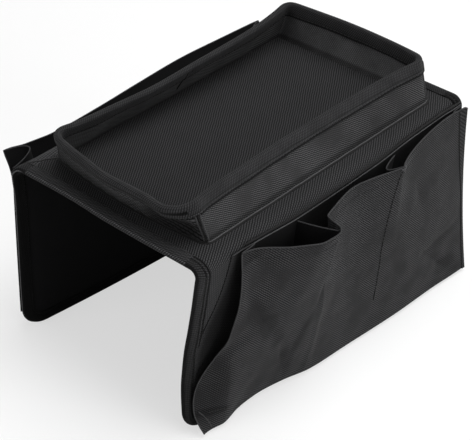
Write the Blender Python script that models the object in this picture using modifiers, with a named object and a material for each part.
"""Sofa armrest organizer: a stiffened cloth saddle with an open tray on top and pockets on both side flaps.

Metres, +Z up. X runs across the sofa arm (+X is the flap with three compartments), Y runs along the arm
(-Y is its front end). The origin is the middle of the footprint, at the flaps' lower edge.
"""

import math

import bmesh
import bpy
from mathutils import Vector

# Whole saddle
LENGTH = 0.330  # along the arm, over the edge tapes
WIDTH = 0.204  # across the arm, between the outer faces of the two flaps
DROP = 0.170  # from the top face down to the flaps' lower edge
BEND_RADIUS = 0.009  # outer radius of the cloth bend between the top and a flap
FLAP_CORNER_RADIUS = 0.022

# Cloth, boards and tape
CLOTH = 0.0006
BOARD = 0.0015
TAPE = 0.0006
TAPE_WIDTH = 0.011
GAP = 0.0003  # between pieces that lie on each other

# Tray
TRAY_SIDE_MARGIN = 0.018  # from a flap's outer face to the outer face of a long wall, at the foot
TRAY_END_MARGIN = 0.026  # from the saddle's end to the outer face of an end wall, at the foot
TRAY_WALL = 0.036  # height of a wall, measured up its slope
WALL_STRIP = 0.0010
STRIP_CLEARANCE = 0.0005  # the sleeve lies loosely over its strip
RIM_TAPE_CLEARANCE = 0.0005  # the tape bridges the corners of the rim
WALL_STRIP_MARGIN = 0.0012  # the strip stops this far from the sleeve's fold and from its open edge
CORNER_LEAN_IN = 0.0075  # how far a rim corner stands inside its foot corner, across
CORNER_LEAN_OUT = 0.0035  # how far a rim corner stands outside its foot corner, along
LONG_WALL_BOW = 0.0095  # how much further the middle of a long wall leans in
FRONT_WALL_LEAN = 0.0150  # how far the front wall's rim leans out at its fullest
BACK_WALL_BOW = 0.0055
FRONT_FOOT_BOW = 0.0072  # the front wall's seam on the top bulges forward
FRONT_LEFT_SET_BACK = 0.0059  # and its left end is sewn on further back

# Pockets
POCKET_STANDOFF = 0.0015  # the pockets' back layer clears the edge tape
RIGHT_POCKET_DEPTH = 0.0400
RIGHT_POCKET_FRONT_TOP = 0.0390  # from the saddle's front end to the sheet's front edge, at the mouth
RIGHT_POCKET_BACK_MARGIN = 0.0050
RIGHT_POCKET_FOOT = 0.0030  # from the flap's lower edge up to the pockets' bottom
RIGHT_MOUTH_DROP = 0.0080  # from the top face down to the mouth
RIGHT_HEM_DROP = 0.0110  # from the top face down to the back layer's hem
GUSSET_ROOT_STEP = 0.0090  # a gusset's root stands this far from the sheet's edge
GUSSET_FOLD = 0.0120  # how far the fold of a right gusset is drawn in between the layers
LEFT_POCKET_DEPTH = 0.0230
LEFT_POCKET_MARGIN = 0.0100
LEFT_POCKET_FOOT = 0.0120
LEFT_MOUTH_DROP = 0.0050
LEFT_HEM_DROP = 0.0060
LEFT_GUSSET_FOLD = 0.0100
DIVIDER_1_TOP = 0.1130  # dividers, from the saddle's front end
DIVIDER_1_FOOT = 0.0980
DIVIDER_2_TOP = 0.2230
DIVIDER_2_FOOT = 0.1950
DIVIDER_HEM_STEP = 0.0050  # a divider's hem lies this far under the mouth
DIVIDER_SLACK = 0.0040

# How the soft flaps hang: sideways shift of the lower edge at the front and back ends
RIGHT_SHIFT_FRONT = -0.0180
RIGHT_SHIFT_BACK = 0.0060
LEFT_SHIFT_FRONT = -0.0040
LEFT_SHIFT_BACK = 0.0180

# Lean of the tray's front rim, from its right end to its left end, as shares of the fullest
FRONT_LEAN_PLACE_SHARES = (0, 0.07, 0.14, 0.25, 0.45, 0.70, 0.88, 1)
FRONT_LEAN_SHARES = (0.08, 0.74, 1, 0.94, 0.87, 0.78, 0.70, 0.53)

# Right pocket sheet: places along the mouth as shares of its length, and its distance from the flap as
# shares of the pocket depth, at the mouth, half way down and at the foot
RIGHT_MOUTH_PLACE_SHARES = (0, 0.09, 0.16, 0.19, 0.225, 0.258, 0.275, 0.295, 0.33, 0.38, 0.44, 0.48, 0.55,
                            0.61, 0.65, 0.70, 0.77, 0.86, 0.94, 1)
RIGHT_MOUTH_DEPTH_SHARES = (0.12, 0.47, 0.82, 0.96, 1, 0.99, 0.86, 0.52, 0.40, 0.30, 0.22, 0.23, 0.35,
                            0.50, 0.47, 0.33, 0.23, 0.16, 0.14, 0.20)
RIGHT_MIDDLE_PLACE_SHARES = (0, 0.08, 0.18, 0.27, 0.38, 0.50, 0.64, 0.80, 0.92, 1)
RIGHT_MIDDLE_DEPTH_SHARES = (0.40, 0.52, 0.66, 0.72, 0.55, 0.46, 0.52, 0.44, 0.32, 0.20)
RIGHT_FOOT_PLACE_SHARES = (0, 0.06, 0.13, 0.21, 0.29, 0.37, 0.50, 0.70, 0.86, 0.95, 1)
RIGHT_FOOT_DEPTH_SHARES = (0.20, 0.36, 0.29, 0.25, 0.32, 0.45, 0.46, 0.47, 0.42, 0.42, 0.30)
# Front edge of that sheet, from the mouth down
RIGHT_EDGE_PLACE_SHARES = (0, 0.10, 0.20, 0.32, 0.45, 0.55, 0.65, 0.75, 0.88, 1)
RIGHT_EDGE_DEPTH_SHARES = (0.12, 0.22, 0.31, 0.38, 0.40, 0.27, 0.18, 0.12, 0.12, 0.31)
RIGHT_EDGE_REACH_SHARE = 0.12  # share of the sheet's length over which that edge shapes it
# Distance of that edge from the saddle's front end: it slants forward to an ear near the foot
RIGHT_FRONT_PLACE_SHARES = (0, 0.08, 0.19, 0.29, 0.39, 0.47, 0.56, 0.64, 0.75, 0.87, 0.93, 1)
RIGHT_FRONT_SHARES = (1, 0.97, 0.91, 0.82, 0.66, 0.56, 0.40, 0.21, 0.06, 0.03, 0.06, 0.19)
# Left pocket sheet, along the mouth and down its front edge
LEFT_MOUTH_PLACE_SHARES = (0, 0.07, 0.16, 0.33, 0.50, 0.68, 0.87, 1)
LEFT_MOUTH_DEPTH_SHARES = (1, 0.94, 0.74, 0.77, 0.90, 1, 0.88, 0.78)
LEFT_DOWN_PLACE_SHARES = (0, 0.10, 0.25, 0.50, 1)
LEFT_DOWN_DEPTH_SHARES = (1, 0.66, 0.48, 0.46, 0.42)
# Height of the right mouth and of the hem of the layer behind it, as shares of their drops
RIGHT_RIM_PLACE_SHARES = (0, 0.12, 0.30, 0.65, 0.86, 1)
RIGHT_RIM_DROP_SHARES = (0.60, 0.90, 1, 1, 0.62, 0.60)
RIGHT_HEM_PLACE_SHARES = (0, 0.12, 0.25, 0.60, 0.75, 1)
RIGHT_HEM_DROP_SHARES = (0.42, 0.72, 1, 0.90, 0.58, 0.40)

# Grid counts
FLAP_GRID = (18, 7)
POCKET_GRID = (46, 10)
PLAIN_POCKET_GRID = (16, 7)
GUSSET_GRID = (5, 10)
WALL_STEPS = 14
WALL_ROWS = 3
BEND_STEPS = 6
CORNER_STEPS = 6
SIDE_STEPS = 7

# Colours and finishes
BLACK_CLOTH = (0.034, 0.034, 0.036)
LINING_CLOTH = (0.020, 0.020, 0.022)
BLACK_TAPE = (0.026, 0.026, 0.028)
GREY_BOARD = (0.220, 0.205, 0.190)
BLACK_STRIP = (0.045, 0.045, 0.047)
CLOTH_ROUGHNESS = 0.82
TAPE_ROUGHNESS = 0.70
BOARD_ROUGHNESS = 0.90
STRIP_ROUGHNESS = 0.55

# Worked out from the sizes above
SANDWICH = 2 * CLOTH + 2 * GAP + BOARD
EDGE_INSET = GAP + TAPE  # the layers stop this far inside the outer size, which the tape fills
OUTER_LEAF = GAP + TAPE / 2
INNER_LEAF = -(SANDWICH + GAP + TAPE / 2)
COVER_MIDDLE = -CLOTH / 2
BOARD_MIDDLE = -(CLOTH + GAP + BOARD / 2)
LINING_MIDDLE = -(SANDWICH - CLOTH / 2)
FLAT_HALF = WIDTH / 2 - BEND_RADIUS
HALF_LENGTH = LENGTH / 2
TRAY_WIDTH = WIDTH - 2 * TRAY_SIDE_MARGIN
TRAY_LENGTH = LENGTH - 2 * TRAY_END_MARGIN
SLEEVE_OFFSET = WALL_STRIP / 2 + STRIP_CLEARANCE + CLOTH / 2
WALL_HALF = SLEEVE_OFFSET + CLOTH / 2
RIM_TAPE_OFFSET = WALL_HALF + RIM_TAPE_CLEARANCE + TAPE / 2
WALL_FOOT = DROP + GAP + CLOTH / 2
BACK_LAYER_MIDDLE = POCKET_STANDOFF + CLOTH / 2
SEAM_CLEARANCE = CLOTH + GAP  # between the middles of two cloths that meet at a seam


def between(start, end, share):
    return start + (end - start) * share


def read_shares(places, values, place):
    """Smooth curve through a table of shares."""
    place = min(max(place, places[0]), places[-1])
    index = 0
    while index < len(places) - 2 and place > places[index + 1]:
        index += 1
    step = places[index + 1] - places[index]
    share = (place - places[index]) / step

    def slope(at):
        before, after = max(at - 1, 0), min(at + 1, len(places) - 1)
        return (values[after] - values[before]) / (places[after] - places[before])

    square, cube = share * share, share * share * share
    return ((2 * cube - 3 * square + 1) * values[index] + (3 * square - 2 * cube) * values[index + 1]
            + (cube - 2 * square + share) * step * slope(index)
            + (cube - square) * step * slope(index + 1))


def clear_scene():
    for item in list(bpy.data.objects):
        bpy.data.objects.remove(item, do_unlink=True)


def new_collection(name):
    collection = bpy.data.collections.new(name)
    bpy.context.scene.collection.children.link(collection)
    return collection


def new_material(name, colour, roughness):
    material = bpy.data.materials.new(name)
    material.use_nodes = True
    shader = material.node_tree.nodes["Principled BSDF"]
    shader.inputs["Base Color"].default_value = (*colour, 1)
    shader.inputs["Roughness"].default_value = roughness
    shader.inputs["Metallic"].default_value = 0
    return material


def new_empty(name, place, parent=None):
    empty = bpy.data.objects.new(name, None)
    collection_of_parts.objects.link(empty)
    empty.location = place
    empty.parent = parent
    return empty


def cloth(name, grid, place, thickness, look, parent, pivot, closed=False, even=True):
    """A sheet: an even grid laid out by place(u, v), thickened to both sides."""
    form = bmesh.new()
    bmesh.ops.create_grid(form, x_segments=grid[0], y_segments=grid[1], size=1)
    for vertex in form.verts:
        across, up = (vertex.co.x + 1) / 2, (vertex.co.y + 1) / 2
        vertex.co = Vector(place(across, up)) - Vector(pivot)
    if closed:
        bmesh.ops.remove_doubles(form, verts=form.verts, dist=GAP / 10)
    mesh = bpy.data.meshes.new(name)
    form.to_mesh(mesh)
    form.free()
    mesh.shade_smooth()
    mesh.set_sharp_from_angle(angle=math.radians(40))
    thing = bpy.data.objects.new(name, mesh)
    collection_of_parts.objects.link(thing)
    look_name, colour, roughness = look
    mesh.materials.append(new_material(name + "_" + look_name, colour, roughness))
    solid = thing.modifiers.new("Thickness", "SOLIDIFY")
    solid.thickness = thickness
    solid.offset = 0
    solid.use_even_offset = even
    thing.parent = parent
    return thing


COVER_LOOK = ("cloth", BLACK_CLOTH, CLOTH_ROUGHNESS)
LINING_LOOK = ("lining", LINING_CLOTH, CLOTH_ROUGHNESS)
TAPE_LOOK = ("tape", BLACK_TAPE, TAPE_ROUGHNESS)
BOARD_LOOK = ("board", GREY_BOARD, BOARD_ROUGHNESS)
STRIP_LOOK = ("strip", BLACK_STRIP, STRIP_ROUGHNESS)


# The flat top

def top_layer(name, middle, thickness, look):
    """One flat layer of the top, between the two bends."""
    half_x, half_y = FLAT_HALF - GAP, HALF_LENGTH - EDGE_INSET

    def place(u, v):
        return (between(-half_x, half_x, u), between(-half_y, half_y, v), DROP + middle)

    cloth(name, (1, 1), place, thickness, look, root, (0, 0, 0))


def tape_profile(share):
    """Reach from the edge and height over the outer face, round the three sides of a folded tape."""
    corners = ((TAPE_WIDTH, OUTER_LEAF), (TAPE / 2, OUTER_LEAF), (TAPE / 2, INNER_LEAF),
               (TAPE_WIDTH, INNER_LEAF))
    return corners[round(share * 3)]


def top_tape(name, end):
    """Folded tape over the front (-1) or back (+1) edge of the top."""
    half_x = FLAT_HALF - GAP

    def place(u, v):
        reach, height = tape_profile(v)
        return (between(-half_x, half_x, u), end * (HALF_LENGTH - reach), DROP + height)

    cloth(name, (1, 3), place, TAPE, TAPE_LOOK, root, (0, 0, 0))


# The bends between the top and the flaps

def on_bend(side, turn, height):
    radius = BEND_RADIUS + height
    angle = turn * math.pi / 2
    return (side * (FLAT_HALF + radius * math.sin(angle)),
            DROP - BEND_RADIUS + radius * math.cos(angle))


def bend_layer(name, side, middle, look):
    half_y = HALF_LENGTH - EDGE_INSET

    def place(u, v):
        x, z = on_bend(side, u, middle)
        return (x, between(-half_y, half_y, v), z)

    cloth(name, (BEND_STEPS, 1), place, CLOTH, look, root, (0, 0, 0))


def bend_tape(name, side, end):
    def place(u, v):
        reach, height = tape_profile(v)
        x, z = on_bend(side, u, height)
        return (x, end * (HALF_LENGTH - reach), z)

    cloth(name, (BEND_STEPS, 3), place, TAPE, TAPE_LOOK, root, (0, 0, 0))


# The side flaps: y along the arm, down from the top face, height over the flap's outer face

def flap_shift(side, y, down):
    along = (y + HALF_LENGTH) / LENGTH
    fall = (down - BEND_RADIUS) / (DROP - BEND_RADIUS)
    fall = fall * (1.5 - 0.5 * fall)
    if side > 0:
        return between(RIGHT_SHIFT_FRONT, RIGHT_SHIFT_BACK, along) * fall
    return between(LEFT_SHIFT_FRONT, LEFT_SHIFT_BACK, along * (2 - along)) * fall


def on_flap(side, y, down, height):
    return (side * (WIDTH / 2 + height) + flap_shift(side, y, down), y, DROP - down)


def flap_foot(y, inset):
    """How far down a layer reaches at y, inside the rounded lower corners."""
    past = abs(y) - (HALF_LENGTH - FLAP_CORNER_RADIUS)
    if past <= 0:
        return DROP - inset
    radius = FLAP_CORNER_RADIUS - inset
    return DROP - FLAP_CORNER_RADIUS + math.sqrt(max(radius * radius - past * past, 0))


def flap_layer(name, side, middle, thickness, look):
    half_y = HALF_LENGTH - EDGE_INSET

    def place(u, v):
        y = -half_y * math.cos(u * math.pi)
        down = between(BEND_RADIUS + GAP, flap_foot(y, EDGE_INSET), v)
        return on_flap(side, y, down, middle)

    cloth(name, FLAP_GRID, place, thickness, look, hinges[side], pivots[side])


def flap_outline():
    """Points of the flap's outer edge, each with the direction into the flap."""
    points = []
    straight_foot = DROP - FLAP_CORNER_RADIUS
    corner_y = HALF_LENGTH - FLAP_CORNER_RADIUS
    for step in range(SIDE_STEPS):
        down = between(BEND_RADIUS + GAP, straight_foot, step / SIDE_STEPS)
        points.append((-HALF_LENGTH, down, 1, 0))
    for step in range(CORNER_STEPS):
        angle = math.pi / 2 * step / CORNER_STEPS
        across, along = math.sin(angle), math.cos(angle)
        points.append((-corner_y - FLAP_CORNER_RADIUS * along,
                       straight_foot + FLAP_CORNER_RADIUS * across, along, -across))
    for step in range(SIDE_STEPS + 1):
        points.append((between(-corner_y, corner_y, step / SIDE_STEPS / 2), DROP, 0, -1))
    mirrored = [(-y, down, -in_y, in_down) for y, down, in_y, in_down in reversed(points[:-1])]
    return points + mirrored


def flap_tape(name, side):
    outline = flap_outline()
    last = len(outline) - 1

    def place(u, v):
        y, down, in_y, in_down = outline[round(u * last)]
        reach, height = tape_profile(v)
        return on_flap(side, y + in_y * reach, down + in_down * reach, height)

    cloth(name, (last, 3), place, TAPE, TAPE_LOOK, hinges[side], pivots[side])


# The tray

def bow(share, fullness=2):
    """0 at a wall's ends and 1 in its middle; fuller where the bow runs flat along the wall."""
    return 1 - abs(2 * share - 1) ** fullness


def front_lean(share):
    return FRONT_WALL_LEAN * read_shares(FRONT_LEAN_PLACE_SHARES, FRONT_LEAN_SHARES, share)


def front_foot(share):
    """How far back the front wall's seam lies from a straight one at the tray's length."""
    return FRONT_LEFT_SET_BACK * share - FRONT_FOOT_BOW * bow(share)


def on_wall(wall, share, up):
    """Middle of a tray wall: share runs round the tray clockwise seen from above, up from foot to rim."""
    foot_x = TRAY_WIDTH / 2 - WALL_HALF
    foot_y = TRAY_LENGTH / 2 - WALL_HALF
    if wall == "right":
        lean_x = -CORNER_LEAN_IN - LONG_WALL_BOW * bow(share, 3)
        lean_y = between(CORNER_LEAN_OUT, -front_lean(0), share)
        x, y = foot_x, between(foot_y, -foot_y, share)
    elif wall == "left":
        lean_x = CORNER_LEAN_IN + LONG_WALL_BOW * bow(share, 3)
        lean_y = between(-front_lean(1), CORNER_LEAN_OUT, share)
        x, y = -foot_x, between(front_foot(1) - foot_y, foot_y, share)
    elif wall == "front":
        lean_x = between(-CORNER_LEAN_IN, CORNER_LEAN_IN, share)
        lean_y = -front_lean(share)
        x, y = between(foot_x, -foot_x, share), front_foot(share) - foot_y
    else:
        lean_x = between(CORNER_LEAN_IN, -CORNER_LEAN_IN, share)
        lean_y = CORNER_LEAN_OUT + BACK_WALL_BOW * bow(share)
        x, y = between(-foot_x, foot_x, share), foot_y
    height = math.sqrt(TRAY_WALL * TRAY_WALL - lean_x * lean_x - lean_y * lean_y)
    x, y = x + lean_x * up, y + lean_y * up
    return Vector((x, y, WALL_FOOT + height * up))


def wall_normal(wall, share, up):
    """Unit vector out of the tray, square to the wall."""
    step = 0.01
    before, after = max(share - step, 0), min(share + step, 1)
    along = on_wall(wall, after, up) - on_wall(wall, before, up)
    rise = on_wall(wall, share, 1) - on_wall(wall, share, 0)
    return rise.cross(along).normalized()


def wall_share(wall, u, margin):
    """Places along a wall: end walls cover the corners, long walls stop inside them."""
    if wall in ("left", "right"):
        reach = (2 * WALL_HALF + margin) / TRAY_LENGTH
    else:
        reach = (margin - WALL_HALF) / TRAY_WIDTH
    return between(reach, 1 - reach, u) if u in (0, 1) else u


def stretched(wall, share, up):
    """on_wall, run on straight past a corner."""
    inside = min(max(share, 0), 1)
    point = on_wall(wall, inside, up)
    if inside == share:
        return point
    length = (on_wall(wall, 1, up) - on_wall(wall, 0, up)).length
    step = (1 if share < 0 else -1) / WALL_STEPS
    outward = (point - on_wall(wall, inside + step, up)).normalized()
    return point + outward * abs(share - inside) * length


def tray_sleeve(wall):
    """The wall's cloth, folded over the rim and open at the foot."""
    rises = [row / WALL_ROWS for row in range(WALL_ROWS + 1)]
    profile = [(up, 1) for up in rises] + [(up, -1) for up in reversed(rises)]
    last = len(profile) - 1

    def place(u, v):
        share = wall_share(wall, u, 0)
        up, face = profile[round(v * last)]
        inside = min(max(share, 0), 1)
        point = stretched(wall, share, up) + wall_normal(wall, inside, up) * SLEEVE_OFFSET * face
        if up == 0:
            rise = (on_wall(wall, inside, 1) - on_wall(wall, inside, 0)).normalized()
            point += rise * (WALL_FOOT - point.z) / rise.z
        return point

    cloth("tray_wall_" + wall, (WALL_STEPS, last), place, CLOTH, COVER_LOOK, root, (0, 0, 0))


def tray_strip(wall):
    """The stiff strip inside a sleeve."""
    rise_margin = WALL_STRIP_MARGIN / TRAY_WALL

    def place(u, v):
        share = wall_share(wall, u, WALL_STRIP_MARGIN)
        return stretched(wall, share, between(rise_margin, 1 - rise_margin, v))

    cloth("tray_strip_" + wall, (WALL_STEPS, WALL_ROWS), place, WALL_STRIP, STRIP_LOOK, root, (0, 0, 0))


def tray_rim_tape():
    """One tape folded over the rim, all the way round."""
    order = ("front", "left", "back", "right")
    reach = TAPE_WIDTH / TRAY_WALL
    over = (CLOTH / 2 + RIM_TAPE_CLEARANCE + TAPE / 2) / TRAY_WALL
    profile = ((1 - reach, 1), (1 + over, 1), (1 + over, -1), (1 - reach, -1))
    total = 4 * WALL_STEPS

    def place(u, v):
        station = round(u * total) % total
        wall = order[station // WALL_STEPS]
        step = station % WALL_STEPS
        share = step / WALL_STEPS
        up, face = profile[round(v * 3)]
        point = on_wall(wall, share, up)
        normal = wall_normal(wall, share, 1)
        if step == 0:
            other = wall_normal(order[station // WALL_STEPS - 1], 1, 1)
            normal = (normal + other) / (1 + normal.dot(other))
        return point + normal * RIM_TAPE_OFFSET * face

    cloth("tray_rim_tape", (total, 3), place, TAPE, TAPE_LOOK, root, (0, 0, 0), closed=True, even=False)


def tray_floor():
    inset = 2 * WALL_HALF + 2 * GAP
    half_x = TRAY_WIDTH / 2 - inset

    def place(u, v):
        back = TRAY_LENGTH / 2 - inset
        return (between(half_x, -half_x, u), between(back, front_foot(u) - back, v), DROP + GAP + CLOTH / 2)

    cloth("tray_floor", (WALL_STEPS, 1), place, CLOTH, COVER_LOOK, root, (0, 0, 0))


# The pockets on the right flap

RIGHT_BACK_END = HALF_LENGTH - RIGHT_POCKET_BACK_MARGIN
RIGHT_FOOT_DOWN = DROP - RIGHT_POCKET_FOOT


def right_front_edge(fall):
    """y of the sheet's front edge."""
    return -HALF_LENGTH + RIGHT_POCKET_FRONT_TOP * read_shares(RIGHT_FRONT_PLACE_SHARES, RIGHT_FRONT_SHARES, fall)


def right_rim_down(share):
    return RIGHT_MOUTH_DROP * read_shares(RIGHT_RIM_PLACE_SHARES, RIGHT_RIM_DROP_SHARES, share)


def right_sheet_depth(share, fall):
    """Distance from the flap of the sheet at a share of its length and of its fall."""
    mouth = read_shares(RIGHT_MOUTH_PLACE_SHARES, RIGHT_MOUTH_DEPTH_SHARES, share)
    middle = read_shares(RIGHT_MIDDLE_PLACE_SHARES, RIGHT_MIDDLE_DEPTH_SHARES, share)
    foot = read_shares(RIGHT_FOOT_PLACE_SHARES, RIGHT_FOOT_DEPTH_SHARES, share)
    body = mouth * (1 - fall) * (1 - 2 * fall) + 4 * middle * fall * (1 - fall) + foot * fall * (2 * fall - 1)
    edge = read_shares(RIGHT_EDGE_PLACE_SHARES, RIGHT_EDGE_DEPTH_SHARES, fall)
    near = max(1 - share / RIGHT_EDGE_REACH_SHARE, 0)
    near = near * near * (3 - 2 * near)
    return RIGHT_POCKET_DEPTH * between(body, edge, near)


def right_sheet_point(share, fall):
    """y, down and height of the sheet."""
    y = between(right_front_edge(fall), RIGHT_BACK_END, share)
    down = between(right_rim_down(share), RIGHT_FOOT_DOWN, fall)
    return y, down, right_sheet_depth(share, fall)


def right_sheet_share(y, fall):
    front = right_front_edge(fall)
    return (y - front) / (RIGHT_BACK_END - front)


def mouth_spread(u):
    """Grid columns lie closer along the first compartment and the fold beside it."""
    return u * (0.62 + 0.38 * u * u)


def right_pocket_sheet():
    def place(u, v):
        y, down, height = right_sheet_point(mouth_spread(u), v)
        return on_flap(1, y, down, height)

    cloth("right_pocket_front", POCKET_GRID, place, CLOTH, COVER_LOOK, hinges[1], pivots[1])


def right_back_front_edge(fall):
    return max(right_front_edge(fall) - GUSSET_ROOT_STEP, -HALF_LENGTH + EDGE_INSET + CLOTH)


def right_hem_down(share):
    return RIGHT_HEM_DROP * read_shares(RIGHT_HEM_PLACE_SHARES, RIGHT_HEM_DROP_SHARES, share)


def right_back_layer():
    def place(u, v):
        y = between(right_back_front_edge(v) - CLOTH, RIGHT_BACK_END, u)
        down = between(right_hem_down(u), RIGHT_FOOT_DOWN, v)
        return on_flap(1, y, down, BACK_LAYER_MIDDLE)

    cloth("right_pocket_back", PLAIN_POCKET_GRID, place, CLOTH, LINING_LOOK, hinges[1], pivots[1])


def gusset(name, side, root_line, edge_line, fold):
    """A side strip of a pocket, from the back layer (root_line) to the sheet (edge_line), folded inward."""

    def place(u, v):
        root_y, root_down, root_height = root_line(v)
        edge_y, edge_down, edge_height = edge_line(v)
        middle_y = (root_y + edge_y) / 2 + fold
        middle_height = (root_height + edge_height) / 2
        first, second, third = (1 - u) * (1 - u), 2 * u * (1 - u), u * u
        y = first * root_y + second * middle_y + third * edge_y
        height = first * root_height + second * middle_height + third * edge_height
        return on_flap(side, y, between(root_down, edge_down, u), height)

    cloth(name, GUSSET_GRID, place, CLOTH, LINING_LOOK, hinges[side], pivots[side])


BACK_SEAM = BACK_LAYER_MIDDLE + SEAM_CLEARANCE
GUSSET_FOOT_SHARE = 0.97  # a gusset stops this share of the way down, over the bottom strip


def gusset_fall(v):
    """A gusset's rows lie beside the sheet's own rows, but for the last."""
    return min(v, GUSSET_FOOT_SHARE)


def right_front_gusset():
    def root_line(v):
        fall = gusset_fall(v)
        down = between(right_rim_down(0) + GAP, RIGHT_FOOT_DOWN, fall)
        return right_back_front_edge(fall) + CLOTH, down, BACK_SEAM

    def edge_line(v):
        fall = gusset_fall(v)
        y, down, height = right_sheet_point(CLOTH / LENGTH, fall)
        return y, down, height - SEAM_CLEARANCE

    gusset("right_gusset_front", 1, root_line, edge_line, GUSSET_FOLD)


def right_back_gusset():
    def root_line(v):
        fall = gusset_fall(v)
        down = between(right_rim_down(1) + GAP, RIGHT_FOOT_DOWN, fall)
        return RIGHT_BACK_END - CLOTH, down, BACK_SEAM

    def edge_line(v):
        fall = gusset_fall(v)
        y, down, height = right_sheet_point(1 - CLOTH / LENGTH, fall)
        return y, down, height - SEAM_CLEARANCE

    gusset("right_gusset_back", 1, root_line, edge_line, -GUSSET_FOLD)


def right_bottom():
    """Strip under the three compartments."""
    columns = POCKET_GRID[0] // 2
    fall = 1 - SEAM_CLEARANCE / RIGHT_FOOT_DOWN

    def place(u, v):
        share = between(CLOTH / LENGTH, 1 - CLOTH / LENGTH, mouth_spread(u))
        y, down, height = right_sheet_point(share, fall)
        return on_flap(1, y, down, between(BACK_SEAM, height - SEAM_CLEARANCE, v))

    cloth("right_pocket_bottom", (columns, 2), place, CLOTH, LINING_LOOK, hinges[1], pivots[1])


def divider(name, top, foot):
    """A cloth wall between two compartments, slanting forward as it goes down."""

    def place(u, v):
        start = DIVIDER_HEM_STEP / DROP
        fall = between(start, GUSSET_FOOT_SHARE, v)
        y = -HALF_LENGTH + between(top, foot, fall)
        share = right_sheet_share(y, fall)
        y, down, height = right_sheet_point(share, fall)
        slack = DIVIDER_SLACK * math.sin(u * math.pi) * (1 - fall)
        return on_flap(1, y - slack, down, between(BACK_SEAM, height - SEAM_CLEARANCE, u))

    cloth(name, GUSSET_GRID, place, CLOTH, LINING_LOOK, hinges[1], pivots[1])


# The pocket on the left flap

LEFT_END = HALF_LENGTH - LEFT_POCKET_MARGIN
LEFT_FOOT_DOWN = DROP - LEFT_POCKET_FOOT


def left_sheet_point(share, fall):
    y = between(-LEFT_END, LEFT_END, share)
    down = between(LEFT_MOUTH_DROP, LEFT_FOOT_DOWN, fall)
    depth = LEFT_POCKET_DEPTH * read_shares(LEFT_MOUTH_PLACE_SHARES, LEFT_MOUTH_DEPTH_SHARES, share)
    return y, down, depth * read_shares(LEFT_DOWN_PLACE_SHARES, LEFT_DOWN_DEPTH_SHARES, fall)


def left_pocket_sheet():
    def place(u, v):
        y, down, height = left_sheet_point(u, v)
        return on_flap(-1, y, down, height)

    cloth("left_pocket_front", (PLAIN_POCKET_GRID[0] + 4, PLAIN_POCKET_GRID[1] + 3), place, CLOTH,
          COVER_LOOK, hinges[-1], pivots[-1])


def left_back_layer():
    half_y = LEFT_END + CLOTH

    def place(u, v):
        down = between(LEFT_HEM_DROP, LEFT_FOOT_DOWN, v)
        return on_flap(-1, between(-half_y, half_y, u), down, BACK_LAYER_MIDDLE)

    cloth("left_pocket_back", PLAIN_POCKET_GRID, place, CLOTH, LINING_LOOK, hinges[-1], pivots[-1])


def left_gusset(name, end):
    def root_line(v):
        fall = gusset_fall(v)
        down = between(LEFT_MOUTH_DROP + GAP, LEFT_FOOT_DOWN, fall)
        return end * (LEFT_END - CLOTH), down, BACK_SEAM

    def edge_line(v):
        fall = gusset_fall(v)
        share = 1 - CLOTH / LENGTH if end > 0 else CLOTH / LENGTH
        y, down, height = left_sheet_point(share, fall)
        return y, down, height - SEAM_CLEARANCE

    gusset(name, -1, root_line, edge_line, -end * LEFT_GUSSET_FOLD)


def left_bottom():
    fall = 1 - SEAM_CLEARANCE / LEFT_FOOT_DOWN

    def place(u, v):
        share = between(CLOTH / LENGTH, 1 - CLOTH / LENGTH, u)
        y, down, height = left_sheet_point(share, fall)
        return on_flap(-1, y, down, between(BACK_SEAM, height - SEAM_CLEARANCE, v))

    cloth("left_pocket_bottom", (PLAIN_POCKET_GRID[0], 2), place, CLOTH, LINING_LOOK, hinges[-1], pivots[-1])


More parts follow.
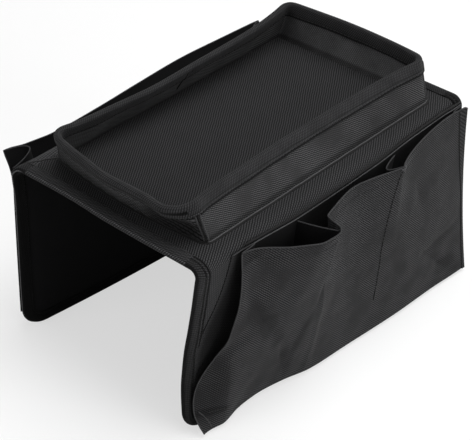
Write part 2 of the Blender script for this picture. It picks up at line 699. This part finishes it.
def centre_footprint():
    """Moves the whole object so that the origin is the middle of its footprint."""
    bpy.context.view_layer.update()
    graph = bpy.context.evaluated_depsgraph_get()
    xs, ys, zs = [], [], []
    for thing in collection_of_parts.objects:
        if thing.type == "MESH":
            shown = thing.evaluated_get(graph)
            corners = [shown.matrix_world @ Vector(corner) for corner in shown.bound_box]
            xs += [corner.x for corner in corners]
            ys += [corner.y for corner in corners]
            zs += [corner.z for corner in corners]
    root.location = (-(min(xs) + max(xs)) / 2, -(min(ys) + max(ys)) / 2, -min(zs))


clear_scene()
collection_of_parts = new_collection("armrest_organizer")
root = new_empty("saddle", (0, 0, 0))
pivots = {side: (side * FLAT_HALF, 0, DROP - BEND_RADIUS) for side in (-1, 1)}
hinges = {-1: new_empty("left_flap_hinge", pivots[-1], root),
          1: new_empty("right_flap_hinge", pivots[1], root)}

top_layer("top_cover", COVER_MIDDLE, CLOTH, COVER_LOOK)
top_layer("top_board", BOARD_MIDDLE, BOARD, BOARD_LOOK)
top_layer("top_lining", LINING_MIDDLE, CLOTH, LINING_LOOK)
top_tape("top_tape_front", -1)
top_tape("top_tape_back", 1)

for side_name, side_sign in (("left", -1), ("right", 1)):
    bend_layer(side_name + "_bend_cover", side_sign, COVER_MIDDLE, COVER_LOOK)
    bend_layer(side_name + "_bend_lining", side_sign, LINING_MIDDLE, LINING_LOOK)
    bend_tape(side_name + "_bend_tape_front", side_sign, -1)
    bend_tape(side_name + "_bend_tape_back", side_sign, 1)
    flap_layer(side_name + "_flap_cover", side_sign, COVER_MIDDLE, CLOTH, COVER_LOOK)
    flap_layer(side_name + "_flap_board", side_sign, BOARD_MIDDLE, BOARD, BOARD_LOOK)
    flap_layer(side_name + "_flap_lining", side_sign, LINING_MIDDLE, CLOTH, LINING_LOOK)
    flap_tape(side_name + "_flap_tape", side_sign)

tray_floor()
for wall_name in ("front", "left", "back", "right"):
    tray_sleeve(wall_name)
    tray_strip(wall_name)
tray_rim_tape()

right_back_layer()
right_pocket_sheet()
right_front_gusset()
right_back_gusset()
right_bottom()
divider("right_divider_1", DIVIDER_1_TOP, DIVIDER_1_FOOT)
divider("right_divider_2", DIVIDER_2_TOP, DIVIDER_2_FOOT)

left_back_layer()
left_pocket_sheet()
left_gusset("left_gusset_front", -1)
left_gusset("left_gusset_back", 1)
left_bottom()

centre_footprint()
